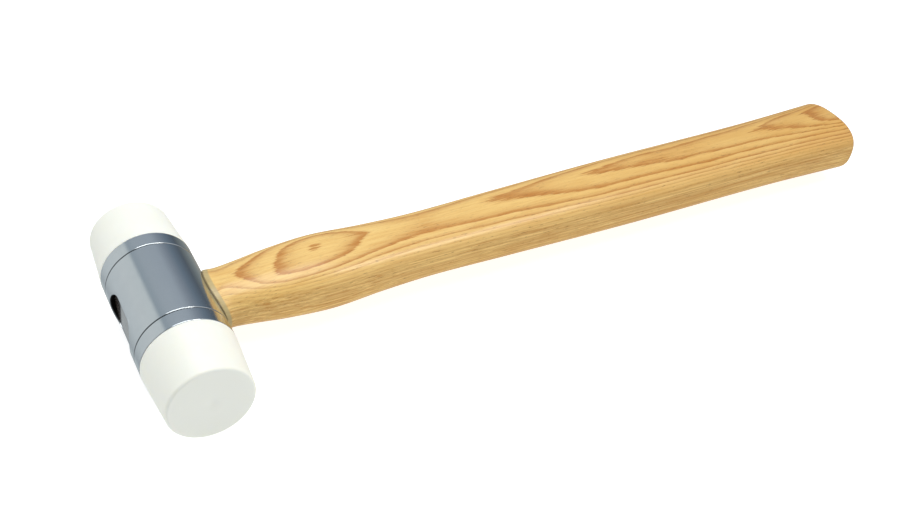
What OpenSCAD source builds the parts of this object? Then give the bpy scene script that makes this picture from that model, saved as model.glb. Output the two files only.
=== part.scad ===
// Dead blow mallet: a steel tube head part filled with loose steel shot, a screwed-in
// nylon face at each end, and a hardwood handle wedged into an oval eye.
// X runs along the handle towards its butt, Y along the head, and Z is up.
// The mallet lies on its side: the origin is at the centre of the underside of its box.

/* [Head] */
// Outer diameter of the head
head_d = 35; // [35:1:42]
// Length of the steel tube between its two plugs
tube_len = 38; // [38:1:50]
// Wall of the steel tube
tube_wall = 2; // [1.5:0.1:2.5]
// Chamfer that makes a fine groove at each joint between tube and plug
seam_chamfer = 0.3; // [0.1:0.05:0.5]

/* [End plugs] */
// Width of the plug's flange, the ring that shows beside the nylon face
flange_w = 6.75; // [5:0.25:9]
// Length of the spigot that closes the tube
spigot_len = 4.5; // [2:0.5:4.5]
// Thickness of steel left at the bottom of the socket
plug_floor = 1.75; // [1.5:0.25:2.5]
// Diameter of the socket and its thread
thread_d = 20; // [16:1:22]
// Axial travel of the thread in one turn
thread_pitch = 2; // [1.5:0.5:2.5]

/* [Nylon faces] */
// Length of nylon that stands out of the plug
face_len = 23.7; // [15:0.1:30]
// Diameter of the striking end, a little less than the head
face_end_d = 31.7; // [28:0.1:34]
// Radius of the striking end's edge
face_edge_r = 1.2; // [0.5:0.1:2.5]

/* [Eye] */
// Width of the eye, along the head, at the open side
eye_w_open = 26; // [24:0.5:27]
// Height of the eye at the open side
eye_h_open = 15; // [13:0.5:15]
// Width of the eye where the handle enters
eye_w_entry = 22; // [20:0.5:22]
// Height of the eye where the handle enters
eye_h_entry = 13; // [11:0.5:13]
// Wall of the sleeve that lines the eye
sleeve_wall = 1; // [0.8:0.1:1]
// How far the tenon's end lies below the open mouth of the eye
tenon_recess = 2; // [2:0.5:7]

/* [Handle] */
// Length from the head's axis to the end of the butt
handle_len = 331.5; // [280:0.5:360]
// Thickness of the handle as a share of its width
handle_flatness = 0.69; // [0.6:0.01:0.74]
// Squareness of the handle's section: 2 is an ellipse, more is squarer
handle_squareness = 2.6; // [2:0.1:3]
// The same at the shoulder, which is rounder
shoulder_squareness = 2.1; // [2:0.1:2.6]
// Depth of the bevel round the shoulder that meets the head
shoulder_bevel = 0.4; // [0.2:0.1:0.6]
// Length of that bevel along the handle
shoulder_bevel_len = 0.6; // [0.4:0.1:1.2]
// Radius of the edge round the butt
butt_edge_r = 3; // [2:0.5:4]

/* [Shot] */
// Diameter of one steel ball
ball_d = 4; // [3:0.5:4]

/* [Hidden] */

eps = 0.01;          // overshoot of a cut
fit_gap = 0.02;      // gap between pieces that are fitted tightly
thread_gap = 0.05;   // radial gap between a face's thread and its socket
fine = 96;           // facets of a preview circle

head_r = head_d / 2;
tube_bore_r = head_r - tube_wall;
seat_y = tube_len / 2 + flange_w;                // where the nylon meets the flange
plug_inner_y = tube_len / 2 - spigot_len;        // where the shot chamber ends
socket_r = thread_d / 2;
socket_depth = flange_w + spigot_len - plug_floor;
shank_len = socket_depth - 0.5;                  // leaves a gap under the shank
shank_r = socket_r - thread_gap;
thread_depth = 0.6 * thread_pitch;

// rubber lock ring, in a recess at the socket's mouth
ring_section_r = 0.9;
ring_recess_depth = 2;
ring_recess_r = socket_r + 2;
ring_mid_r = socket_r + 1;

// wedges: thickness at the tenon's end, thickness at the tip, length
wood_wedge_t = 3.2;
wood_wedge_tip_t = 0.8;
wood_wedge_len = 19;
steel_wedge_t = 2.2;
steel_wedge_tip_t = 0.6;
steel_wedge_len = 13;
steel_wedge_w = 10;
tenon_end_x = tenon_recess - head_r;
tenon_root = 1;      // how far the tenon's shape runs into the handle's shoulder

// share of the handle's length from the head's axis, and half width of the handle there
handle_shape = [[0.04, 13.85], [0.055, 13.8], [0.067, 13.4], [0.09, 14.05], [0.12, 15.1],
                [0.18, 16.45], [0.247, 15.2], [0.314, 14.6], [0.42, 15.4], [0.6, 16.7],
                [0.845, 17.2], [1, 18.7]];
handle_sides = 40;
handle_steps = 25;   // rings between the shoulder and the butt
ring_crowding = 1.4; // above 1 the rings crowd towards the shoulder
saddle_blend = 14;   // over this length the shoulder's saddle fades into flat sections
square_blend = 25;   // over this length the round shoulder turns into the grip's section
shoulder_land = 0.2; // the bevel starts this far from the head
butt_dome = 0.8;     // height of the dome on the butt

// steel balls: rows along the head, and columns across each chamber
ball_pitch = ball_d + 0.1;
ball_rows = 6;
ball_columns = 5;

placed_x = (head_r - handle_len) / 2;            // puts the box's centre at X = 0

// the head's centre is the meeting point of the head's axis and the handle's axis
module placed() {
    translate([placed_x, 0, head_r]) children();
}

// a cylinder along the head's axis, from y0 to y1
module along_head(y0, y1, r1, r2) {
    translate([0, y0, 0]) rotate([-90, 0, 0]) cylinder(h = y1 - y0, r1 = r1, r2 = r2, $fn = fine);
}

// ---- eye ----

module stadium(w, h) {
    hull() for (side = [-1, 1]) translate([side * (w - h) / 2, 0]) circle(d = h, $fn = 32);
}

// the eye's tapered space, from the handle's side to the open side, grown by a wall;
// it starts this far outside the head
module eye_space(grow, outside = 0) {
    w0 = eye_w_entry - (eye_w_open - eye_w_entry) * outside / head_d + 2 * grow;
    h0 = eye_h_entry - (eye_h_open - eye_h_entry) * outside / head_d + 2 * grow;
    w1 = eye_w_open + 2 * grow;
    h1 = eye_h_open + 2 * grow;
    translate([head_r + outside, 0, 0]) rotate([0, -90, 0]) rotate([0, 0, 90])
        linear_extrude(height = head_d + outside, scale = [w1 / w0, h1 / h0], slices = 1)
            stadium(w0, h0);
}

// half height of the sleeve's outside at distance x from the head's axis
function sleeve_top(x) =
    sleeve_wall + (eye_h_entry + (eye_h_open - eye_h_entry) * (head_r - x) / head_d) / 2;

module eye_sleeve() {
    color("#8d9196") placed() intersection() {
        difference() {
            eye_space(sleeve_wall - fit_gap);
            eye_space(0);
        }
        along_head(-tube_len / 2, tube_len / 2, head_r, head_r);
    }
}

// ---- steel head ----

// a steel ring with both outer edges chamfered, from y0 to y1
module chamfered_barrel(y0, y1) {
    along_head(y0, y0 + seam_chamfer, head_r - seam_chamfer, head_r);
    along_head(y0 + seam_chamfer, y1 - seam_chamfer, head_r, head_r);
    along_head(y1 - seam_chamfer, y1, head_r, head_r - seam_chamfer);
}

module head_tube() {
    color("#9aa5ad") placed() difference() {
        chamfered_barrel(-tube_len / 2, tube_len / 2);
        along_head(-tube_len / 2 - eps, tube_len / 2 + eps, tube_bore_r, tube_bore_r);
        eye_space(sleeve_wall);
    }
}

// the plug for the end at +Y
module end_plug() {
    spigot_r = tube_bore_r - fit_gap;
    color("#a3acb3") difference() {
        union() {
            chamfered_barrel(tube_len / 2, seat_y);
            along_head(plug_inner_y, tube_len / 2 + eps, spigot_r, spigot_r);
        }
        along_head(seat_y - socket_depth, seat_y + eps, socket_r, socket_r);
        along_head(seat_y - ring_recess_depth, seat_y + eps, ring_recess_r, ring_recess_r);
    }
}

module front_end_plug() { placed() mirror([0, 1, 0]) end_plug(); }
module rear_end_plug() { placed() end_plug(); }

// ---- nylon faces and their lock rings ----

// half outline of a face: radius, and distance from the seat. Grooves one pitch apart
// stand for the thread below the plain neck that the lock ring grips.
function face_outline() = concat(
    [[0, -shank_len]],
    [for (y = [-shank_len : thread_pitch : -ring_recess_depth - thread_pitch])
        each [[shank_r - thread_depth, y], [shank_r, y + 0.4 * thread_pitch],
              [shank_r, y + 0.6 * thread_pitch], [shank_r - thread_depth, y + thread_pitch - eps]]],
    [[shank_r, -ring_recess_depth], [shank_r, 0], [head_r - seam_chamfer, 0], [head_r, seam_chamfer]],
    [for (a = [0 : 15 : 90])
        [face_end_d / 2 - face_edge_r * (1 - cos(a)), face_len - face_edge_r * (1 - sin(a))]],
    [[0, face_len]]);

module nylon_face() {
    color("#f3f2e8") translate([0, seat_y, 0]) rotate([-90, 0, 0])
        rotate_extrude($fn = fine) polygon(face_outline());
}

module front_face() { placed() mirror([0, 1, 0]) nylon_face(); }
module rear_face() { placed() nylon_face(); }

module lock_ring() {
    color("#2a2a2a") translate([0, seat_y - ring_recess_depth / 2, 0]) rotate([-90, 0, 0])
        rotate_extrude($fn = fine) translate([ring_mid_r, 0]) circle(r = ring_section_r, $fn = 24);
}

module front_lock_ring() { placed() mirror([0, 1, 0]) lock_ring(); }
module rear_lock_ring() { placed() lock_ring(); }

// ---- shot ----

function ball_y(row) = (row - (ball_rows - 1) / 2) * ball_pitch;

module ball() {
    color("#b9bcc0") sphere(d = ball_d, $fn = 24);
}

// one layer of balls that lies on top of the eye sleeve
module upper_shot() {
    placed() for (row = [0 : ball_rows - 1], column = [0 : ball_columns - 1]) {
        x = (column - (ball_columns - 1) / 2) * ball_pitch;
        translate([x, ball_y(row), sleeve_top(x) + ball_d / 2 + 2 * fit_gap]) ball();
    }
}

// one layer of balls that lies in the bottom of the tube
module lower_shot() {
    layer_r = tube_bore_r - ball_d / 2 - fit_gap;
    step = 2 * asin(ball_pitch / 2 / layer_r);
    placed() for (row = [0 : ball_rows - 1], column = [0 : ball_columns - 1]) {
        a = (column - (ball_columns - 1) / 2) * step;
        translate([layer_r * sin(a), ball_y(row), -layer_r * cos(a)]) ball();
    }
}

// ---- handle ----

// smooth value of a [distance, value] table at distance x, through cubic pieces
function slope(t, i) =
    let (lo = max(i - 1, 0), hi = min(i + 1, len(t) - 1))
    (t[hi][1] - t[lo][1]) / (t[hi][0] - t[lo][0]);
function piece(t, x, i = 0) = i >= len(t) - 2 || x < t[i + 1][0] ? i : piece(t, x, i + 1);
function smooth(t, x) =
    let (i = piece(t, x), span = t[i + 1][0] - t[i][0], u = (x - t[i][0]) / span)
    t[i][1] * (1 + 2 * u) * pow(1 - u, 2) + slope(t, i) * span * u * pow(1 - u, 2)
    + t[i + 1][1] * u * u * (3 - 2 * u) - slope(t, i + 1) * span * u * u * (1 - u);

function signed_pow(v, p) = sign(v) * pow(abs(v), p);

// one ring of the handle: s is its distance along the handle, inset shrinks it
function handle_ring(s, inset) =
    let (width = smooth(handle_shape, s / handle_len),
         a = width - inset, b = width * handle_flatness - inset,
         saddle = max(0, 1 - max(0, s - head_r) / saddle_blend),
         square_share = min(1, max(0, s - head_r) / square_blend),
         squareness = shoulder_squareness
             + (handle_squareness - shoulder_squareness) * square_share)
    [for (k = [0 : handle_sides - 1])
        let (t = 360 * k / handle_sides, z = b * signed_pow(sin(t), 2 / squareness),
             curve = sqrt(head_r * head_r - min(z * z, head_r * head_r)) - head_r)
        [s + saddle * curve, a * signed_pow(cos(t), 2 / squareness), z]];

// distances and insets of all rings, from inside the head to the butt
function handle_rings() = concat(
    [[head_r - 3, shoulder_bevel], [head_r + shoulder_land, shoulder_bevel]],
    let (start = head_r + shoulder_bevel_len, end = handle_len - butt_dome - butt_edge_r)
        [for (i = [0 : handle_steps - 1])
            [start + (end - start) * pow(i / handle_steps, ring_crowding), 0]],
    [for (a = [0 : 18 : 90])
        [handle_len - butt_dome - butt_edge_r * (1 - sin(a)), butt_edge_r * (1 - cos(a))]]);

module handle_body() {
    rings = handle_rings();
    n = handle_sides;
    last = (len(rings) - 1) * n;
    points = concat([for (r = rings) each handle_ring(r[0], r[1])], [[handle_len, 0, 0]]);
    faces = concat(
        [[for (k = [0 : n - 1]) k]],
        [for (i = [0 : len(rings) - 2], k = [0 : n - 1])
            [i * n + k, (i + 1) * n + k, (i + 1) * n + (k + 1) % n, i * n + (k + 1) % n]],
        [for (k = [0 : n - 1]) [last + k, last + n, last + (k + 1) % n]]);
    polyhedron(points, faces, convexity = 4);
}

// the handle's end inside the eye
module tenon() {
    intersection() {
        eye_space(-fit_gap, tenon_root);
        translate([tenon_end_x, -head_d, -head_d]) cube([2 * head_d, 2 * head_d, 2 * head_d]);
    }
}

// a wedge that tapers along +X from the tenon's end, with its thickness along Y
module wedge(t, tip_t, length, w) {
    translate([tenon_end_x, 0, -w / 2]) linear_extrude(height = w)
        polygon([[-eps, -t / 2], [length, -tip_t / 2], [length, tip_t / 2], [-eps, t / 2]]);
}

module wood_wedge_space(grow) {
    rotate([90, 0, 0])
        wedge(wood_wedge_t + grow, wood_wedge_tip_t + grow, wood_wedge_len + grow, 2 * eye_w_open);
}

module steel_wedge_space(grow) {
    wedge(steel_wedge_t + grow, steel_wedge_tip_t + grow, steel_wedge_len + grow, steel_wedge_w + grow);
}

module handle() {
    color("#e3b878") placed() difference() {
        union() {
            difference() {
                handle_body();
                along_head(-head_d, head_d, head_r + fit_gap, head_r + fit_gap);
            }
            tenon();
        }
        wood_wedge_space(0);
        steel_wedge_space(0);
    }
}

module wooden_wedge() {
    color("#cf9f62") placed() difference() {
        intersection() {
            tenon();
            wood_wedge_space(-2 * fit_gap);
        }
        steel_wedge_space(0);
    }
}

module steel_wedge() {
    color("#6f7377") placed() intersection() {
        tenon();
        steel_wedge_space(-2 * fit_gap);
    }
}

head_tube();
eye_sleeve();
front_end_plug();
rear_end_plug();
front_face();
rear_face();
front_lock_ring();
rear_lock_ring();
upper_shot();
lower_shot();
handle();
wooden_wedge();
steel_wedge();
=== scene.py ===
"""Looks of the dead blow mallet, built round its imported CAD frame.

Lengths in the mallet's own measures are in millimetres and turned to metres by MM.
Places along the mallet are measured from the head's centre, where the head's axis
(along Y) meets the handle's axis (along X).
"""

import math

import bmesh
import bpy
from mathutils import Matrix, Vector


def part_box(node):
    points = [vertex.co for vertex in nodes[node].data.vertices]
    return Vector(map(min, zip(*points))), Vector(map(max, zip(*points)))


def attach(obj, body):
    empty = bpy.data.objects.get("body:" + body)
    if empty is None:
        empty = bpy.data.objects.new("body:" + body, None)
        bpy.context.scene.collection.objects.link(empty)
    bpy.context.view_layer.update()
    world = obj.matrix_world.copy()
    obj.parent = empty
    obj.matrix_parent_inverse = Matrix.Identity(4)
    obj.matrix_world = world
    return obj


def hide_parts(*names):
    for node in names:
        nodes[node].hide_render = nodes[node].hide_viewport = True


MM = 0.001

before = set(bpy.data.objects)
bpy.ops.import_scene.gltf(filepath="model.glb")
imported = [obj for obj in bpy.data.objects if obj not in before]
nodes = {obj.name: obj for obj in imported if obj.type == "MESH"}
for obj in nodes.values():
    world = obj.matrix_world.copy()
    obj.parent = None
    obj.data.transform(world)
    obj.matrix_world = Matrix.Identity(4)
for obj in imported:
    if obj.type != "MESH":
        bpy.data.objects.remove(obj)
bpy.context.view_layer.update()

# ---- sizes, from the frame where it has them ----

tube_low, tube_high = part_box("head_tube")
CENTRE = (tube_low + tube_high) / 2              # the head's centre
HEAD_R = (tube_high.z - tube_low.z) / 2
TUBE_HALF = (tube_high.y - tube_low.y) / 2
face_low, face_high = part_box("rear_face")
plug_low, plug_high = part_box("rear_end_plug")
SEAT_Y = plug_high.y - CENTRE.y                  # where the nylon meets the flange
FACE_END_Y = face_high.y - CENTRE.y
SHANK_LEN = plug_high.y - face_low.y
handle_low, handle_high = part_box("handle")
HANDLE_LEN = handle_high.x - CENTRE.x
TENON_END_X = handle_low.x - CENTRE.x

# ---- camera: the photograph's viewing angle ----

CAMERA_AZIMUTH = -33.0       # degrees; 0 looks along +Y
CAMERA_ELEVATION = 39.14
CAMERA_ROLL = 6.63
CAMERA_DISTANCE = 387.7 * MM
CAMERA_AIM_RIGHT = 107.4 * MM   # the aim is this far right of the head's centre
CAMERA_AIM_UP = 20.9 * MM
CAMERA_LENS = 41.4
SENSOR_WIDTH = 36.0


def add_camera():
    """The scene's camera, placed by its angles round the mallet."""
    azimuth, elevation = math.radians(CAMERA_AZIMUTH), math.radians(CAMERA_ELEVATION)
    back = Vector((math.sin(azimuth) * math.cos(elevation),
                   -math.cos(azimuth) * math.cos(elevation), math.sin(elevation)))
    level_right = (-back).cross(Vector((0, 0, 1))).normalized()
    level_up = level_right.cross(-back)
    roll = math.radians(CAMERA_ROLL)
    right = math.cos(roll) * level_right + math.sin(roll) * level_up
    up = math.cos(roll) * level_up - math.sin(roll) * level_right
    aim = CENTRE + right * CAMERA_AIM_RIGHT + up * CAMERA_AIM_UP
    data = bpy.data.cameras.new("camera")
    data.lens = CAMERA_LENS
    data.sensor_width = SENSOR_WIDTH
    data.sensor_fit = "HORIZONTAL"
    data.clip_start = 0.01
    camera = bpy.data.objects.new("camera", data)
    bpy.context.scene.collection.objects.link(camera)
    camera.matrix_world = Matrix.Translation(aim + back * CAMERA_DISTANCE) @ Matrix(
        (right, up, back)).transposed().to_4x4()
    bpy.context.scene.camera = camera


# ---- node graphs ----

class Graph:
    """A short way to write a material's or the world's nodes."""

    def __init__(self, tree):
        self.tree = tree
        self.tree.nodes.clear()

    def node(self, kind, inputs=None, **settings):
        """A new node with its settings made and its inputs filled."""
        made = self.tree.nodes.new(kind)
        for name, value in settings.items():
            setattr(made, name, value)
        for name, value in (inputs or {}).items():
            self.put(made.inputs[name], value)
        return made

    def put(self, socket, value):
        """Link a socket to an output, or give it a constant."""
        if isinstance(value, bpy.types.NodeSocket):
            self.tree.links.new(value, socket)
        else:
            socket.default_value = value

    def math(self, operation, a, b=0.0, c=0.0, clamp=False):
        """One step of arithmetic on numbers or sockets."""
        made = self.node("ShaderNodeMath", {0: a, 1: b, 2: c}, operation=operation)
        made.use_clamp = clamp
        return made.outputs[0]

    def sum(self, *values):
        total = values[0]
        for value in values[1:]:
            total = self.math("ADD", total, value)
        return total

    def vector(self, operation, a, b=(0, 0, 0)):
        return self.node("ShaderNodeVectorMath", {0: a, 1: b}, operation=operation).outputs[0]

    def xyz(self, vector):
        return self.node("ShaderNodeSeparateXYZ", {0: vector}).outputs

    def noise(self, vector, scale=1.0, detail=2.0, roughness=0.5):
        inputs = {"Vector": vector, "Scale": scale, "Detail": detail, "Roughness": roughness}
        return self.node("ShaderNodeTexNoise", inputs).outputs[0]

    def ramp(self, value, stops):
        """A straight-line map of value through (place, level) or (place, colour) stops."""
        made = self.node("ShaderNodeValToRGB", {0: value})
        elements = made.color_ramp.elements
        while len(elements) < len(stops):
            elements.new(1.0)
        for element, (place, level) in zip(elements, stops):
            element.position = place
            colour = (level,) * 3 if isinstance(level, (int, float)) else tuple(level)
            element.color = (*colour, 1.0)
        return made.outputs[0]

    def mix(self, factor, a, b):
        """The colour a where factor is 0, and b where it is 1."""
        made = self.node("ShaderNodeMix", data_type="RGBA")
        sockets = [s for s in made.inputs if s.enabled]
        for socket, value in zip(sockets, (factor, a, b)):
            self.put(socket, value if not isinstance(value, tuple) else (*value, 1.0))
        return [s for s in made.outputs if s.enabled][0]

    def map_range(self, value, low, high, to_low=0.0, to_high=1.0):
        inputs = {0: value, 1: low, 2: high, 3: to_low, 4: to_high}
        return self.node("ShaderNodeMapRange", inputs).outputs[0]

    def bump(self, height, strength, distance):
        inputs = {"Height": height, "Strength": strength, "Distance": distance}
        return self.node("ShaderNodeBump", inputs).outputs[0]


def material(name, **constants):
    """A new material, its graph, and its Principled shader with constant sockets set."""
    made = bpy.data.materials.new(name)
    made.use_nodes = True
    graph = Graph(made.node_tree)
    output = graph.node("ShaderNodeOutputMaterial")
    shader = graph.node("ShaderNodeBsdfPrincipled", constants)
    graph.tree.links.new(shader.outputs[0], output.inputs[0])
    return made, graph, shader


def place_in_mm(graph):
    """The surface's own place, in millimetres from the head's centre."""
    coordinates = graph.node("ShaderNodeTexCoord").outputs["Object"]
    moved = graph.vector("SUBTRACT", coordinates, tuple(CENTRE))
    return graph.vector("MULTIPLY", moved, (1 / MM, 1 / MM, 1 / MM))


def from_axis(graph, first, second):
    """Distance from an axis, from the two coordinates across it."""
    return graph.math("SQRT", graph.math("ADD", graph.math("MULTIPLY", first, first),
                                         graph.math("MULTIPLY", second, second)))


def grain_noise(graph, place, along, across, detail, roughness):
    """Noise drawn out along the handle; along and across are its features per mm."""
    stretched = graph.vector("MULTIPLY", place, (along, across, across))
    return graph.noise(stretched, 1.0, detail, roughness)


# ---- materials ----

# Heights of the growth rings above the head's axis in mm, from the lowest one up;
# below them the rings are evenly spaced.
RING_LEVELS = [-1.0, 0.5, 1.9, 3.5, 5.4, 6.7, 7.7, 8.65, 9.55, 10.6, 11.45, 11.95, 12.4, 13.2]
LOWER_RING_SPACING = 1.3
RING_TILT = 0.04             # rise of the rings per mm towards +Y
RING_ROUNDNESS = 900.0       # mm; the larger, the flatter the rings lie across the handle
RING_DRIFT = 0.5             # mm that the rings wander up and down
RING_JITTER = 0.34           # mm that they jitter from fibre to fibre
# Swirls in the grain, in mm: place along and across the handle, reach along and across, lift
SWIRLS = [(40, -9, 15, 6, 1.1), (37, 9, 8, 7, -0.25), (57, 1, 5, 3, 0.2),
          (150, 0, 25, 40, -0.17), (196, 0, 20, 40, -0.12), (312, 3, 12, 12, -0.2)]
WOOD_PALE = (0.90, 0.61, 0.215)
WOOD_AMBER = (0.76, 0.42, 0.10)
WOOD_ORANGE = (0.52, 0.20, 0.03)
WOOD_BROWN = (0.56, 0.33, 0.10)
PORE_COLOUR = (0.24, 0.09, 0.02)
# share of a growth ring, and how much of it is dark early wood there
EARLY_WOOD = [(0.0, 0.3), (0.05, 1.0), (0.2, 0.85), (0.36, 0.4), (0.6, 0.12), (0.94, 0.0),
              (1.0, 0.3)]
RINGS_FADE = (9.6, 7.4, 1.0, 0.35)   # heights in mm, and the strength of the rings at them
SIDE_START = 7.6             # height in mm under which the colour of the handle's side begins
SIDE_FULL = 4.6              # and the height where it is complete
AMBER_START = 90.0           # mm from the head where the wood starts to get darker
AMBER_END = 331.0
SHOULDER_OLIVE = (0.46, 0.38, 0.19)
SHOULDER_BAND_WIDTH = 2.1           # mm of the olive band round the shoulder, next to the tube
JOINT_SHADE = (0.10, 0.06, 0.025)     # painted shade in the joint between shoulder and tube


def swirl(graph, place, along, across, reach_along, reach_across, lift):
    """A smooth local lift of the growth rings."""
    away = graph.vector("SUBTRACT", place, (along, across, 0.0))
    scaled = graph.vector("MULTIPLY", away, (1 / reach_along, 1 / reach_across, 0.0))
    square = graph.node("ShaderNodeVectorMath", {0: scaled, 1: scaled},
                        operation="DOT_PRODUCT").outputs["Value"]
    bell = graph.math("EXPONENT", graph.math("MULTIPLY", square, -1.0))
    return graph.math("MULTIPLY", bell, lift)


def growth_rings(graph, place):
    """Number of rings below this place; its fraction is the share of the ring."""
    y, z = graph.xyz(place)[1:]
    drift = grain_noise(graph, place, 0.025, 0.12, 1.0, 0.5)
    fibre = grain_noise(graph, place, 0.10, 1.4, 3.0, 0.6)
    level = graph.sum(
        z, graph.math("MULTIPLY", y, RING_TILT),
        graph.math("DIVIDE", graph.math("MULTIPLY", y, y), RING_ROUNDNESS),
        graph.math("MULTIPLY_ADD", drift, RING_DRIFT, -RING_DRIFT / 2),
        graph.math("MULTIPLY_ADD", fibre, RING_JITTER, -RING_JITTER / 2),
        *[swirl(graph, place, *numbers) for numbers in SWIRLS])
    below = graph.math("SUBTRACT", level, RING_LEVELS[0])
    lower = graph.math("MINIMUM", graph.math("DIVIDE", below, LOWER_RING_SPACING), 0.0)
    rings = [graph.map_range(level, low, high) for low, high in zip(RING_LEVELS, RING_LEVELS[1:])]
    return graph.sum(lower, *rings)


def wood(name):
    """Ring-porous hardwood: growth rings cut by the surface, fibres, and open pores."""
    made, graph, shader = material(name, **{
        "Coat Weight": 0.55, "Coat Roughness": 0.22, "IOR": 1.45, "Specular IOR Level": 0.3})
    place = place_in_mm(graph)
    x, _, z = graph.xyz(place)
    on_side = graph.map_range(z, SIDE_START, SIDE_FULL)
    streak = grain_noise(graph, place, 0.03, 1.8, 3.0, 0.65)
    cloud = grain_noise(graph, place, 0.02, 0.15, 2.0, 0.5)
    flame = grain_noise(graph, place, 0.07, 0.7, 4.0, 0.6)
    fine = grain_noise(graph, place, 0.012, 1.5, 3.0, 0.75)
    pores = grain_noise(graph, place, 0.35, 2.4, 2.0, 0.6)

    # dark early wood at the start of each ring, in pale late wood with amber in it
    early = graph.ramp(graph.math("FRACT", growth_rings(graph, place)), EARLY_WOOD)
    early_share = graph.math("MULTIPLY", early, graph.map_range(flame, 0.3, 0.6, 0.7, 1.0))
    early_share = graph.math("MULTIPLY", early_share, graph.map_range(z, *RINGS_FADE))
    towards_butt = graph.map_range(x, AMBER_START, AMBER_END, 0.0, 0.8)
    late = graph.mix(graph.math("MULTIPLY", towards_butt, graph.map_range(cloud, 0.2, 0.55)),
                     WOOD_PALE, WOOD_AMBER)
    late = graph.mix(graph.map_range(flame, 0.5, 0.75, 0.0, 0.6), late, WOOD_AMBER)
    late = graph.mix(graph.map_range(streak, 0.42, 0.72, 0.0, 0.55), late, WOOD_AMBER)
    base = graph.mix(early_share, late, WOOD_ORANGE)

    # the side shows the rings edge on, as fine pale and dark lines on brown
    base = graph.mix(graph.math("MULTIPLY", on_side, 0.45), base, WOOD_BROWN)
    pale_line = graph.math("MULTIPLY", on_side, graph.map_range(fine, 0.53, 0.62, 0.0, 0.9))
    base = graph.mix(pale_line, base, WOOD_PALE)
    dark_line = graph.math("MULTIPLY", on_side, graph.map_range(fine, 0.47, 0.4, 0.0, 0.5))
    base = graph.mix(dark_line, base, WOOD_ORANGE)

    # open pores, most of them in the early wood
    pore_mask = graph.math("MULTIPLY", graph.map_range(pores, 0.60, 0.68),
                           graph.map_range(early, 0.05, 0.5, 0.3, 1.0), clamp=True)
    base = graph.mix(graph.math("MULTIPLY", pore_mask, 0.55), base, PORE_COLOUR)

    # an olive band round the shoulder, and painted shade in the joint beside the tube
    from_tube = graph.math("SUBTRACT", from_axis(graph, x, z), HEAD_R / MM)
    band = graph.map_range(from_tube, SHOULDER_BAND_WIDTH + 0.2, SHOULDER_BAND_WIDTH - 0.2, 0.0, 0.8)
    joint = graph.map_range(from_tube, 0.6, 0.25, 0.0, 0.7)
    base = graph.mix(joint, graph.mix(band, base, SHOULDER_OLIVE), JOINT_SHADE)

    graph.put(shader.inputs["Base Color"], base)
    height = graph.math("SUBTRACT", graph.math("MULTIPLY", streak, 0.3), pore_mask)
    graph.put(shader.inputs["Normal"], graph.bump(height, 0.3, 0.05 * MM))
    graph.put(shader.inputs["Roughness"], graph.map_range(streak, 0.3, 0.7, 0.36, 0.5))
    return made


def sealed_end(name, colour, metallic=0.0):
    """End grain or wedge under dark glossy sealing lacquer."""
    made, graph, shader = material(name, **{
        "Coat Weight": 1.0, "Coat Roughness": 0.08, "Coat IOR": 1.55, "Metallic": metallic})
    place = place_in_mm(graph)
    grain = grain_noise(graph, place, 0.5, 3.0, 3.0, 0.6)
    graph.put(shader.inputs["Base Color"],
              graph.mix(grain, colour, tuple(0.45 * c for c in colour)))
    graph.put(shader.inputs["Roughness"], graph.map_range(grain, 0.3, 0.7, 0.4, 0.6))
    return made


# painted shade in the seams between the tube and the plugs
SEAM_SHADE_WIDTH = 0.13     # mm of painted shade to each side of the tube's ends
SEAM_SHADE_COLOUR = (0.09, 0.09, 0.09)
INSIDE_SHADE_COLOUR = (0.035, 0.033, 0.032)    # painted shade on the sleeve's wall inside the eye


def steel(name, colour, roughness, scratch=0.12, shade_inside=False):
    """Plated steel with fine polishing marks, with painted shade in the seams and inside the head.
    """
    made, graph, shader = material(name, Metallic=1.0)
    place = place_in_mm(graph)
    x, y, z = graph.xyz(place)
    cloud = graph.noise(place, 0.25, 3.0, 0.6)
    lines = graph.noise(graph.vector("MULTIPLY", place, (2.0, 9.0, 2.0)), 1.0, 4.0, 0.7)
    base = graph.mix(cloud, colour, tuple(0.93 * c for c in colour))
    rough = graph.sum(graph.map_range(cloud, 0.3, 0.7, roughness * 0.8, roughness * 1.2),
                      graph.map_range(lines, 0.4, 0.8, 0.0, roughness * 0.5))
    # painted shade along the seams at the tube's ends
    from_seam = graph.math("ABSOLUTE", graph.math(
        "SUBTRACT", graph.math("ABSOLUTE", y), TUBE_HALF / MM))
    seam_shade = graph.map_range(from_seam, SEAM_SHADE_WIDTH + 0.05, SEAM_SHADE_WIDTH - 0.03)
    base = graph.mix(seam_shade, base, SEAM_SHADE_COLOUR)
    if shade_inside:
        # painted shade on the sleeve's wall below the tube's surface, which is rougher there too
        radius = from_axis(graph, x, z)
        inside = graph.map_range(radius, HEAD_R / MM - 0.25, HEAD_R / MM - 0.6)
        base = graph.mix(inside, base, INSIDE_SHADE_COLOUR)
        rough = graph.math("MAXIMUM", rough, graph.math("MULTIPLY", inside, 0.55))
    graph.put(shader.inputs["Base Color"], base)
    graph.put(shader.inputs["Roughness"], rough)
    graph.put(shader.inputs["Normal"], graph.bump(lines, scratch, 0.01 * MM))
    return made


NYLON_WHITE = (0.975, 0.97, 0.87)
NYLON_CREAM = (0.95, 0.95, 0.835)
NYLON_DISC_SHADE = (0.865, 0.882, 0.81)    # painted shade on the striking disc, darker and cooler than the rest of the face
TURNING_MARKS = 14.0         # radians of the marks' wave per mm of radius


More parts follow.
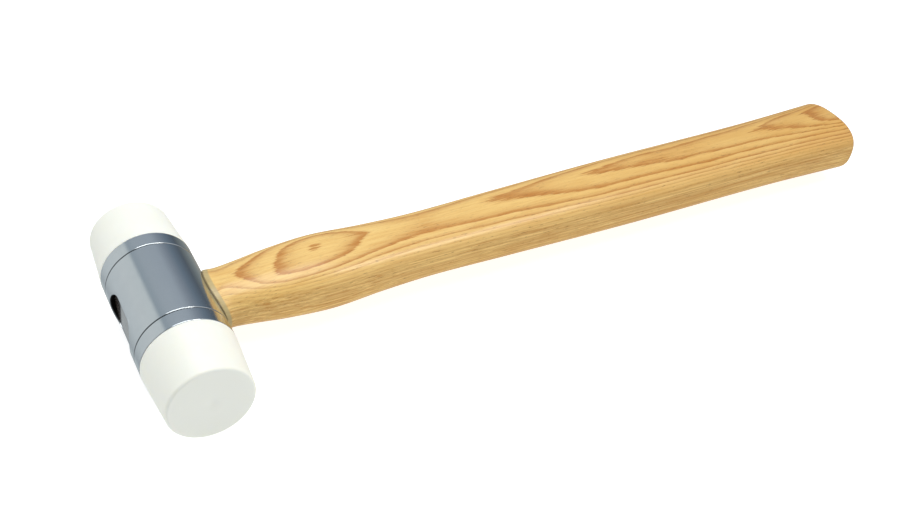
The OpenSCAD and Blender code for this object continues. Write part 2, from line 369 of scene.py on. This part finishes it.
def nylon(name):
    """Natural white nylon: satin, slightly translucent, with turning marks."""
    made, graph, shader = material(name, **{
        "Roughness": 0.42, "Subsurface Weight": 0.25, "Subsurface Scale": 2.0 * MM,
        "Subsurface Radius": (1.0, 0.9, 0.7), "IOR": 1.53, "Coat Weight": 0.0})
    place = place_in_mm(graph)
    x, y, z = graph.xyz(place)
    cloud = graph.noise(place, 0.12, 3.0, 0.6)
    nylon_colour = graph.mix(cloud, NYLON_WHITE, NYLON_CREAM)
    # painted shade over the striking disc, which gets less light than the barrel
    disc_y = FACE_END_Y / MM
    disc_shade = graph.map_range(graph.math("ABSOLUTE", y), disc_y - 0.45, disc_y - 0.15)
    graph.put(shader.inputs["Base Color"], graph.mix(disc_shade, nylon_colour, NYLON_DISC_SHADE))
    radius = from_axis(graph, x, z)
    rings = graph.math("SINE", graph.math("MULTIPLY", radius, TURNING_MARKS))
    speckle = graph.noise(place, 3.0, 2.0, 0.6)
    height = graph.sum(graph.math("MULTIPLY", rings, 0.12), speckle)
    graph.put(shader.inputs["Normal"], graph.bump(height, 0.12, 0.05 * MM))
    graph.put(shader.inputs["Roughness"], graph.map_range(speckle, 0.3, 0.7, 0.38, 0.48))
    return made


def rubber(name):
    """Black rubber with a fine matt skin."""
    made, graph, shader = material(name, Roughness=0.6)
    speckle = graph.noise(place_in_mm(graph), 4.0, 2.0, 0.6)
    graph.put(shader.inputs["Base Color"],
              graph.mix(speckle, (0.012, 0.012, 0.013), (0.03, 0.03, 0.03)))
    graph.put(shader.inputs["Normal"], graph.bump(speckle, 0.2, 0.02 * MM))
    return made


# ---- mesh helpers ----

def add_piece(name, mesh, body, finish, replaced=(), sharp_deg=35):
    """A smooth-shaded piece of the mallet, its mesh in the row frame."""
    mesh.name = name
    mesh.validate()
    mesh.polygons.foreach_set("use_smooth", [True] * len(mesh.polygons))
    mesh.set_sharp_from_angle(angle=math.radians(sharp_deg))
    mesh.materials.clear()
    mesh.materials.append(finish)
    piece = bpy.data.objects.new(name, mesh)
    bpy.context.scene.collection.objects.link(piece)
    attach(piece, body)
    if replaced:
        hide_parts(*replaced)
    return piece


def keep_flat_parts_true(piece):
    """Shade by the large faces, so that a carved rim doesn't bend their reflections."""
    weighted = piece.modifiers.new("weighted", "WEIGHTED_NORMAL")
    weighted.keep_sharp = True


def loft(rings, closed=False):
    """Vertices and quads of a tube through rings of equal length.

    Its two ends are capped by fans, or joined to each other when it is closed.
    """
    count = len(rings[0])
    vertices = [point for ring in rings for point in ring]
    spans = len(rings) if closed else len(rings) - 1
    faces = []
    for i in range(spans):
        here, there = i * count, (i + 1) % len(rings) * count
        faces += [(here + k, here + (k + 1) % count, there + (k + 1) % count, there + k)
                  for k in range(count)]
    for ring, start in ((rings[0], 0), (rings[-1], (len(rings) - 1) * count)):
        if not closed:
            vertices.append(sum(ring, Vector()) / count)
            faces += [(start + k, start + (k + 1) % count, len(vertices) - 1)
                      for k in range(count)]
    return vertices, faces


def plain_mesh(name, vertices, faces):
    """A mesh with its normals outward."""
    mesh = bpy.data.meshes.new(name)
    mesh.from_pydata(vertices, [], faces)
    shaped = bmesh.new()
    shaped.from_mesh(mesh)
    bmesh.ops.recalc_face_normals(shaped, faces=shaped.faces)
    shaped.to_mesh(mesh)
    shaped.free()
    return mesh


def carve(mesh, cutters):
    """The mesh with each cutter, a (vertices, faces) pair, taken out of it."""
    scene = bpy.context.scene.collection
    blank = bpy.data.objects.new("blank", mesh)
    scene.objects.link(blank)
    helpers = []
    for vertices, faces in cutters:
        helper = bpy.data.objects.new("cutter", plain_mesh("cutter", vertices, faces))
        scene.objects.link(helper)
        helpers.append(helper)
        cut = blank.modifiers.new("cut", "BOOLEAN")
        cut.operation = "DIFFERENCE"
        cut.solver = "EXACT"
        cut.object = helper
    shaped = bpy.data.meshes.new_from_object(
        blank.evaluated_get(bpy.context.evaluated_depsgraph_get()))
    for helper in (blank, *helpers):
        bpy.data.objects.remove(helper)
    return shaped


def revolve(profile, segments, side=1, groove=None):
    """Rings round the head's axis through (radius, distance from the head's centre) points."""
    rings = []
    for row, (radius, distance) in enumerate(profile):
        ring = []
        for k in range(segments):
            t = math.tau * k / segments
            r = radius if groove is None else radius + groove(row, distance, k / segments)
            ring.append(CENTRE + Vector((r * math.cos(t), side * distance, r * math.sin(t))))
        rings.append(ring)
    return rings


def round_edge(centre_r, centre_y, radius, start_deg, end_deg, steps=6):
    """Points of a rounded edge; 0 degrees points away from the axis, 90 along it."""
    points = []
    for i in range(steps + 1):
        a = math.radians(start_deg + (end_deg - start_deg) * i / steps)
        points.append((centre_r + radius * math.cos(a), centre_y + radius * math.sin(a)))
    return points


# ---- eye and its sleeve ----

EYE_ENTRY = (22.0 * MM, 13.0 * MM)   # width and height of the eye where the handle enters
EYE_OPEN = (26.0 * MM, 15.0 * MM)    # and at its open side
SLEEVE_WALL = 1.0 * MM
FIT_GAP = 0.02 * MM
RING_POINTS = 144                    # points round the handle and the eye


def on_tube(z, radius):
    """Distance from the head's axis, along X, of a cylinder of that radius at height z."""
    return math.sqrt(max(radius * radius - z * z, 0.0))


def eye_size(x, grow=0.0):
    """Width and height of the tapered eye at a distance from the head's axis."""
    share = (1 - x / HEAD_R) / 2
    return [entry + (opened - entry) * share + 2 * grow
            for entry, opened in zip(EYE_ENTRY, EYE_OPEN)]


def stadium_point(width, height, t):
    """A point of a stadium, across (Y) and up (Z), at the turn t from +Y."""
    radius, reach = height / 2, (width - height) / 2
    end_turn = math.acos(1 / 3)
    side = 1 if math.cos(t) >= 0 else -1
    if abs(math.cos(t)) < 1 / 3:
        return reach * 3 * math.cos(t), math.copysign(radius, math.sin(t))
    from_side = math.atan2(math.sin(t), abs(math.cos(t)))
    a = from_side / end_turn * math.pi / 2
    return side * (reach + radius * math.cos(a)), radius * math.sin(a)


def stadium_ring(size, place_x, blend_ring=None, blend=0.0):
    """A ring of the eye's section; place_x gives its distance along X from the height."""
    ring = []
    for k in range(RING_POINTS):
        y, z = stadium_point(*size, math.tau * k / RING_POINTS)
        if blend_ring is not None:
            y += (blend_ring[k].y - CENTRE.y - y) * blend
            z += (blend_ring[k].z - CENTRE.z - z) * blend
        ring.append(CENTRE + Vector((place_x(z), y, z)))
    return ring


def eye_cutter(side):
    """What the tube loses on one side for the sleeve."""
    size = eye_size(side * HEAD_R, SLEEVE_WALL + FIT_GAP)
    return loft([stadium_ring(size, lambda z, depth=depth: side * on_tube(z, HEAD_R - depth))
                 for depth in (-2.0 * MM, 5.0 * MM)])


# depth under the tube's surface and growth of the sleeve's edge, in mm, from outside to inside
SLEEVE_EDGE = [(0.3, 0.0), (0.0, 0.0), (0.0, -0.25), (0.0, -0.5), (0.06, -0.75), (0.2, -0.92),
               (0.5, -1.0)]


def add_sleeve(finish):
    """The oval sleeve that lines the eye, its ends flush with the tube."""
    rings = []
    for side, edge in ((1, SLEEVE_EDGE), (-1, SLEEVE_EDGE[::-1])):
        for depth, grow in edge:
            rings.append(stadium_ring(
                eye_size(side * HEAD_R, SLEEVE_WALL + grow * MM),
                lambda z, depth=depth, side=side: side * on_tube(z, HEAD_R - depth * MM)))
    mesh = plain_mesh("sleeve", *loft(rings, closed=True))
    piece = add_piece("eye_lining", mesh, "head", finish, ("eye_sleeve",))
    keep_flat_parts_true(piece)
    return piece


# ---- tube and end plugs ----

SEAM_R = 0.34 * MM           # rounded edges where tube and plugs meet
SEAM_GAP = 0.12 * MM         # the groove between them is twice as wide
SEAM_DEPTH = 0.5 * MM
TUBE_BORE_R = 15.5 * MM
RIM_CHAMFER = 0.3 * MM
SPIGOT_CHAMFER = 0.4 * MM
PLUG_FLOOR = 1.75 * MM
SOCKET_R = 10.0 * MM
SOCKET_GROOVE = 0.5 * MM
SOCKET_BEVEL = 0.6 * MM      # at the mouth of the thread
RECESS_R = 12.0 * MM         # recess for the lock ring, at the socket's mouth
RECESS_DEPTH = 2.0 * MM
THREAD_PITCH = 2.0 * MM
THREAD_DEPTH = 1.1 * MM
FACE_SEGMENTS = 160          # round a nylon face
HEAD_SEGMENTS = 192          # round the tube and the plugs
TUBE_ROWS = 26               # along the tube
SOCKET_ROWS = 56             # along a plug's thread
SOCKET_FADE_ROWS = 4         # in which the thread runs out at the socket's floor
PLUG_CORE_R = 5.0 * MM       # ring in the flat ends of a plug


def add_tube(finish):
    """The plated tube with rounded ends, cut through by the eye on both sides."""
    straight = TUBE_HALF - SEAM_GAP - SEAM_R
    outer = [(HEAD_R, straight * (2 * i / TUBE_ROWS - 1)) for i in range(TUBE_ROWS + 1)]
    floor_r = HEAD_R - SEAM_DEPTH
    profile = ([(TUBE_BORE_R, -TUBE_HALF), (floor_r, -TUBE_HALF), (floor_r, SEAM_GAP - TUBE_HALF)]
               + round_edge(HEAD_R - SEAM_R, -straight, SEAM_R, -90, 0)[:-1] + outer
               + round_edge(HEAD_R - SEAM_R, straight, SEAM_R, 0, 90)[1:]
               + [(floor_r, TUBE_HALF - SEAM_GAP), (floor_r, TUBE_HALF), (TUBE_BORE_R, TUBE_HALF)])
    blank = plain_mesh("tube", *loft(revolve(profile, HEAD_SEGMENTS), closed=True))
    piece = add_piece("steel_tube", carve(blank, [eye_cutter(1), eye_cutter(-1)]), "head", finish,
                      ("head_tube",), sharp_deg=50)
    keep_flat_parts_true(piece)
    return piece


def thread_crest(distance, turn, side):
    """How near a right-hand thread's crest this place is: 0 in the root, 1 on the crest."""
    share = (distance / THREAD_PITCH + side * turn) % 1.0
    crest_top, flank_slope = 1.35, 5.0       # a top over 1 makes the crest flat
    return min(1.0, max(0.0, crest_top - abs(share - 0.5) * flank_slope))


def add_plug(name, side, finish, node):
    """A steel end plug: spigot, collar, lock-ring recess and threaded socket."""
    inner_y = plug_low.y - CENTRE.y
    floor_y, recess_y = inner_y + PLUG_FLOOR, SEAT_Y - RECESS_DEPTH
    spigot_r = TUBE_BORE_R - FIT_GAP
    profile = [(PLUG_CORE_R, inner_y), (spigot_r - SPIGOT_CHAMFER, inner_y),
               (spigot_r, inner_y + SPIGOT_CHAMFER), (spigot_r, TUBE_HALF),
               (HEAD_R - SEAM_DEPTH, TUBE_HALF), (HEAD_R - SEAM_DEPTH, TUBE_HALF + SEAM_GAP)]
    edge_y = TUBE_HALF + SEAM_GAP + SEAM_R
    profile += round_edge(HEAD_R - SEAM_R, edge_y, SEAM_R, -90, 0)
    profile += [(HEAD_R, edge_y + RIM_CHAMFER), (HEAD_R, SEAT_Y - 2 * RIM_CHAMFER)]
    profile += round_edge(HEAD_R - RIM_CHAMFER, SEAT_Y - RIM_CHAMFER, RIM_CHAMFER, 0, 90)
    profile += [(RECESS_R + RIM_CHAMFER, SEAT_Y), (RECESS_R, SEAT_Y - RIM_CHAMFER),
                (RECESS_R, recess_y), (SOCKET_R + SOCKET_BEVEL, recess_y)]
    first = len(profile)
    for i in range(SOCKET_ROWS + 1):
        share = 0.03 + 0.94 * i / SOCKET_ROWS    # of the way down, clear of both ends
        profile.append((SOCKET_R, recess_y + (floor_y - recess_y) * share))
    last = len(profile)
    profile += [(SOCKET_R, floor_y), (PLUG_CORE_R, floor_y)]

    def groove(row, distance, turn):
        """Depth of the socket's thread, which runs out at the floor."""
        if not first <= row < last:
            return 0.0
        fade = min(1.0, (last - 1 - row) / SOCKET_FADE_ROWS)
        return SOCKET_GROOVE * fade * thread_crest(distance - SEAT_Y, turn, side)

    mesh = plain_mesh(name, *loft(revolve(profile, HEAD_SEGMENTS, side, groove)))
    piece = add_piece(name, mesh, "head", finish, (node,), sharp_deg=50)
    keep_flat_parts_true(piece)
    return piece


# ---- nylon faces ----

SHANK_R = 9.95 * MM
SHANK_TIP = 0.5 * MM         # bevel at the shank's end
SHANK_CORE_R = 4.0 * MM      # ring in the shank's flat end
SHANK_ROWS = 64              # along the thread
BEVEL_ROWS = 4               # of those, the bevelled ones at the tip
TIP_ROWS = 6                 # and the ones where the thread begins
SEAT_ROWS = 6                # and the ones where it runs out
NECK_BEVEL = 0.2 * MM        # between the shank and the seat
BARREL_ROWS = 15
DISC_RINGS = (0.85, 0.7, 0.5, 0.3)   # shares of the disc's radius
FACE_END_R = 15.85 * MM
FACE_EDGE_R = 1.2 * MM
CENTRE_MARK_R = 1.3 * MM     # shallow mark left by the moulding's gate
CENTRE_MARK_DEPTH = 0.08 * MM


def add_nylon_face(name, side, body, finish, node):
    """A nylon face: screwed shank, flat seat, tapered barrel and rounded striking disc."""
    length = FACE_END_Y - SEAT_Y
    profile = [(SHANK_CORE_R, -SHANK_LEN), (SHANK_R - THREAD_DEPTH - SHANK_TIP, -SHANK_LEN)]
    first = len(profile)
    thread_len = SHANK_LEN - SHANK_TIP - RECESS_DEPTH
    for i in range(SHANK_ROWS + 1):
        profile.append((SHANK_R, -SHANK_LEN + SHANK_TIP + thread_len * i / SHANK_ROWS))
    last = len(profile)
    profile += [(SHANK_R, -NECK_BEVEL), (SHANK_R + NECK_BEVEL, 0.0), (HEAD_R - RIM_CHAMFER, 0.0)]
    profile += round_edge(HEAD_R - RIM_CHAMFER, RIM_CHAMFER, RIM_CHAMFER, -90, 0)[1:]
    barrel_len = length - FACE_EDGE_R - RIM_CHAMFER
    for i in range(1, BARREL_ROWS + 1):
        share = i / BARREL_ROWS
        profile.append((HEAD_R + (FACE_END_R - HEAD_R) * share, RIM_CHAMFER + barrel_len * share))
    edge = round_edge(FACE_END_R - FACE_EDGE_R, length - FACE_EDGE_R, FACE_EDGE_R, 0, 90, 10)
    profile += edge[1:]
    profile += [(FACE_END_R * share, length) for share in DISC_RINGS]
    profile += [(CENTRE_MARK_R, length), (CENTRE_MARK_R * 0.8, length - CENTRE_MARK_DEPTH)]

    def groove(row, distance, turn):
        """Depth of the shank's thread: full at the bevelled tip, none at the seat."""
        if not first <= row < last:
            return 0.0
        from_tip, from_seat = row - first, last - 1 - row
        fade = min(1.0, from_tip / (TIP_ROWS - 1), from_seat / SEAT_ROWS)
        crest = thread_crest(distance - SEAT_Y, turn, side)
        depth = 1 - crest * fade if from_tip < TIP_ROWS else (1 - crest) * fade
        bevel = max(0.0, 1 - from_tip / BEVEL_ROWS) * SHANK_TIP
        return -THREAD_DEPTH * depth - bevel

    placed = [(r, SEAT_Y + distance) for r, distance in profile]
    mesh = plain_mesh(name, *loft(revolve(placed, FACE_SEGMENTS, side, groove)))
    return add_piece(name, mesh, body, finish, (node,))


# ---- handle ----

# share of the handle's length from the head's axis, and half width there in mm
HANDLE_SHAPE = [(0.04, 13.85), (0.055, 13.8), (0.067, 13.4), (0.09, 14.05), (0.12, 15.1),
                (0.18, 16.45), (0.247, 15.2), (0.314, 14.6), (0.42, 15.4), (0.6, 16.7),
                (0.845, 17.2), (1.0, 18.7)]
HANDLE_FLATNESS = 0.69
HANDLE_SQUARENESS = 2.6
SHOULDER_SQUARENESS = 2.1
SQUARE_BLEND = 25.0 * MM     # over this length the round shoulder turns into the grip's section
SHOULDER_BEVEL = 0.4 * MM
SHOULDER_BEVEL_LEN = 0.6 * MM
BUTT_EDGE_R = 3.0 * MM
BUTT_DOME = 0.8 * MM
SADDLE_BLEND = 14.0 * MM
HANDLE_RINGS = 230
RING_CROWDING = 1.2          # above 1 the rings crowd towards the shoulder
TENON_EDGE = 0.25 * MM       # bevel round the tenon's end
# wedges: thickness at the tenon's end and at the tip, length, width
WOOD_WEDGE = (3.2 * MM, 0.8 * MM, 19.0 * MM, 40.0 * MM)
STEEL_WEDGE = (2.2 * MM, 0.6 * MM, 13.0 * MM, 10.0 * MM)


def smooth_value(table, x):
    """Cubic pieces through a table of (place, value)."""
    def slope(i):
        low, high = max(i - 1, 0), min(i + 1, len(table) - 1)
        return (table[high][1] - table[low][1]) / (table[high][0] - table[low][0])
    i = max(k for k in range(len(table) - 1) if k == 0 or table[k][0] <= x)
    span = table[i + 1][0] - table[i][0]
    u = (x - table[i][0]) / span
    return (table[i][1] * (1 + 2 * u) * (1 - u) ** 2 + slope(i) * span * u * (1 - u) ** 2
            + table[i + 1][1] * u * u * (3 - 2 * u) - slope(i + 1) * span * u * u * (1 - u))


def signed_power(value, power):
    """The power of the value's size, with the value's sign."""
    return math.copysign(abs(value) ** power, value)


def handle_ring(distance, inset):
    """A ring of the handle, shrunk by inset; near the head it follows the tube."""
    half = smooth_value(HANDLE_SHAPE, distance / HANDLE_LEN) * MM
    saddle = max(0.0, 1 - max(0.0, distance - HEAD_R) / SADDLE_BLEND)
    share = min(1.0, max(0.0, distance - HEAD_R) / SQUARE_BLEND)
    power = 2 / (SHOULDER_SQUARENESS + (HANDLE_SQUARENESS - SHOULDER_SQUARENESS) * share)
    ring = []
    for k in range(RING_POINTS):
        t = math.tau * k / RING_POINTS
        y = (half - inset) * signed_power(math.cos(t), power)
        z = (half * HANDLE_FLATNESS - inset) * signed_power(math.sin(t), power)
        x = distance + saddle * (on_tube(z, HEAD_R) - HEAD_R)
        ring.append(CENTRE + Vector((x, y, z)))
    return ring


def wedge_space(thickness, tip_thickness, length, width, upright):
    """The slot of a wedge that is driven in from the tenon's end."""
    start = 1.0 * MM         # the cut starts this far outside the tenon
    mouth = thickness + (thickness - tip_thickness) * start / length
    corners = []
    for x, thick in ((TENON_END_X - start, mouth), (TENON_END_X + length, tip_thickness)):
        for a, b in ((-1, -1), (1, -1), (1, 1), (-1, 1)):
            across, up = (thick, width) if upright else (width, thick)
            corners.append(CENTRE + Vector((x, a * across / 2, b * up / 2)))
    return loft([corners[:4], corners[4:]])


def add_handle(finish, end_finish):
    """The whole handle: tenon in the eye, bevelled shoulder, swell, waist and butt."""
    radius = HEAD_R + FIT_GAP
    rings = [stadium_ring(eye_size(TENON_END_X, -FIT_GAP - TENON_EDGE), lambda z: TENON_END_X),
             stadium_ring(eye_size(TENON_END_X, -FIT_GAP), lambda z: TENON_END_X + TENON_EDGE),
             stadium_ring(eye_size(HEAD_R, -FIT_GAP), lambda z: on_tube(z, radius))]
    shoulder = handle_ring(HEAD_R, SHOULDER_BEVEL)
    for step in (0.4, 0.8, 1.0):
        rings.append(stadium_ring(EYE_ENTRY, lambda z: on_tube(z, radius), shoulder, step))
    for share in (0.25, 0.5, 0.75):
        rings.append(handle_ring(HEAD_R + SHOULDER_BEVEL_LEN * share,
                                 SHOULDER_BEVEL * (1 - share)))
    start, end = HEAD_R + SHOULDER_BEVEL_LEN, HANDLE_LEN - BUTT_DOME - BUTT_EDGE_R
    rings += [handle_ring(start + (end - start) * (i / HANDLE_RINGS) ** RING_CROWDING, 0.0)
              for i in range(HANDLE_RINGS)]
    for inset, along in round_edge(0.0, 0.0, BUTT_EDGE_R, 0, 90, 8):
        rings.append(handle_ring(end + along, BUTT_EDGE_R - inset))
    rim = rings[-1]
    for share in (0.75, 0.5, 0.25):
        rings.append([Vector((CENTRE.x + HANDLE_LEN - BUTT_DOME * share * share,
                              CENTRE.y + (p.y - CENTRE.y) * share,
                              CENTRE.z + (p.z - CENTRE.z) * share)) for p in rim])
    slots = [wedge_space(*WOOD_WEDGE, upright=False), wedge_space(*STEEL_WEDGE, upright=True)]
    mesh = carve(plain_mesh("handle", *loft(rings)), slots)
    piece = add_piece("handle_body", mesh, "head", finish, ("handle",),
                      sharp_deg=28)
    mesh.materials.append(end_finish)
    for face in mesh.polygons:
        if face.center.x - CENTRE.x < TENON_END_X + 2 * TENON_EDGE:
            face.material_index = 1
    return piece


# ---- light ----

# Brightness round the head's axis: degrees from -X, over the top, and the colour there;
# first on the rear side of the head, then on the front side.
SKY_REAR = [(-180, (0.13, 0.15, 0.17)), (-150, (0.27, 0.30, 0.30)), (-125, (0.38, 0.36, 0.32)),
            (-100, (0.42, 0.42, 0.42)), (-75, (0.56, 0.62, 0.64)), (-58, (0.43, 0.47, 0.50)),
            (-40, (0.58, 0.62, 0.64)), (-20, (0.68, 0.72, 0.74)), (20, (0.74, 0.77, 0.78)),
            (50, (0.72, 0.76, 0.77)), (58, (0.38, 0.44, 0.49)), (75, (0.45, 0.50, 0.55)),
            (118, (0.43, 0.48, 0.54)), (136, (0.30, 0.34, 0.40)), (155, (0.18, 0.23, 0.29)),
            (180, (0.11, 0.13, 0.16))]
SKY_FRONT = [(-180, (0.25, 0.26, 0.27)), (-140, (0.15, 0.15, 0.16)), (-90, (0.08, 0.08, 0.08)),
             (-40, (0.05, 0.05, 0.06)), (0, (0.10, 0.11, 0.11)), (60, (0.12, 0.13, 0.14)),
             (95, (0.20, 0.21, 0.22)), (120, (0.85, 0.88, 0.90)), (155, (0.75, 0.77, 0.80)),
             (180, (0.30, 0.31, 0.32))]


def add_sky():
    """The studio round the mallet, which lights it and shows in the steel."""
    world = bpy.data.worlds.new("studio")
    world.use_nodes = True
    graph = Graph(world.node_tree)
    output = graph.node("ShaderNodeOutputWorld")
    direction = graph.node("ShaderNodeTexCoord").outputs["Generated"]
    x, y, z = graph.xyz(direction)
    angle = graph.math("ARCTAN2", z, graph.math("MULTIPLY", x, -1.0))
    share = graph.map_range(angle, -math.pi, math.pi)
    rear, front = (graph.ramp(share, [((a + 180) / 360, c) for a, c in sky])
                   for sky in (SKY_REAR, SKY_FRONT))
    colour = graph.mix(graph.map_range(y, -0.25, 0.2), front, rear)
    background = graph.node("ShaderNodeBackground", {"Color": colour, "Strength": 1.0})
    graph.tree.links.new(background.outputs[0], output.inputs[0])
    bpy.context.scene.world = world


def add_light(name, aim, direction, distance, size, watts, colour=(1, 1, 1)):
    """A soft round light that looks at aim from a direction."""
    data = bpy.data.lights.new(name, "AREA")
    data.shape = "DISK"
    data.size = size
    data.energy = watts
    data.color = colour
    light = bpy.data.objects.new(name, data)
    toward = Vector(direction).normalized()
    light.location = aim + toward * distance
    light.rotation_mode = "QUATERNION"
    light.rotation_quaternion = toward.to_track_quat("Z", "Y")
    bpy.context.scene.collection.objects.link(light)


def add_floor():
    """A pale, slightly lit sheet; it isn't mirrored in the steel, which shows the studio."""
    half = 3.0               # metres from the middle to each side
    mesh = bpy.data.meshes.new("floor")
    corners = [(-half, -half, 0), (half, -half, 0), (half, half, 0), (-half, half, 0)]
    mesh.from_pydata(corners, [], [(0, 1, 2, 3)])
    made, graph, shader = material("floor_paper", **{
        "Roughness": 0.9, "Specular IOR Level": 0.0, "Emission Color": (1, 1, 1, 1),
        "Emission Strength": 0.82})
    grain = graph.noise(graph.node("ShaderNodeTexCoord").outputs["Object"], 40.0, 2.0, 0.5)
    graph.put(shader.inputs["Base Color"],
              graph.mix(grain, (0.50, 0.50, 0.50), (0.53, 0.53, 0.53)))
    mesh.materials.append(made)
    floor = bpy.data.objects.new("floor", mesh)
    bpy.context.scene.collection.objects.link(floor)
    floor.visible_glossy = False


# ---- the whole scene ----

def main():
    """Build the scene."""
    bpy.context.scene.view_settings.view_transform = "Standard"
    add_camera()
    add_sky()
    add_light("top", aim=CENTRE, direction=(0.05, 0.22, 1.0), distance=0.75, size=0.55,
              watts=3.3)
    add_light("key", aim=CENTRE + Vector((0.1, 0, 0)), direction=(0.42, -0.30, 0.85),
              distance=1.1, size=0.35, watts=2.4, colour=(1.0, 0.96, 0.92))
    add_floor()

    plated = steel("plated_steel", (0.62, 0.66, 0.68), 0.13)
    lining = steel("lining_steel", (0.62, 0.66, 0.68), 0.15, shade_inside=True)
    ball_steel = steel("ball_steel", (0.5, 0.5, 0.51), 0.2)
    handle_wood = wood("lacquered_hardwood")
    white_nylon = nylon("white_nylon")
    black_rubber = rubber("black_rubber")

    kept = {"upper_shot": ball_steel, "lower_shot": ball_steel, "front_lock_ring": black_rubber,
            "rear_lock_ring": black_rubber,
            "wooden_wedge": sealed_end("sealed_wood", (0.05, 0.03, 0.02)),
            "steel_wedge": sealed_end("sealed_steel", (0.10, 0.10, 0.11), 0.8)}
    for node, finish in kept.items():
        nodes[node].data.materials.clear()
        nodes[node].data.materials.append(finish)

    add_tube(plated)
    add_sleeve(lining)
    add_plug("front_steel_plug", -1, plated, "front_end_plug")
    add_plug("rear_steel_plug", 1, plated, "rear_end_plug")
    add_handle(handle_wood, sealed_end("sealed_end_grain", (0.035, 0.022, 0.015)))
    add_nylon_face("front_nylon_face", -1, "front_insert", white_nylon, "front_face")
    add_nylon_face("rear_nylon_face", 1, "rear_insert", white_nylon, "rear_face")


main()
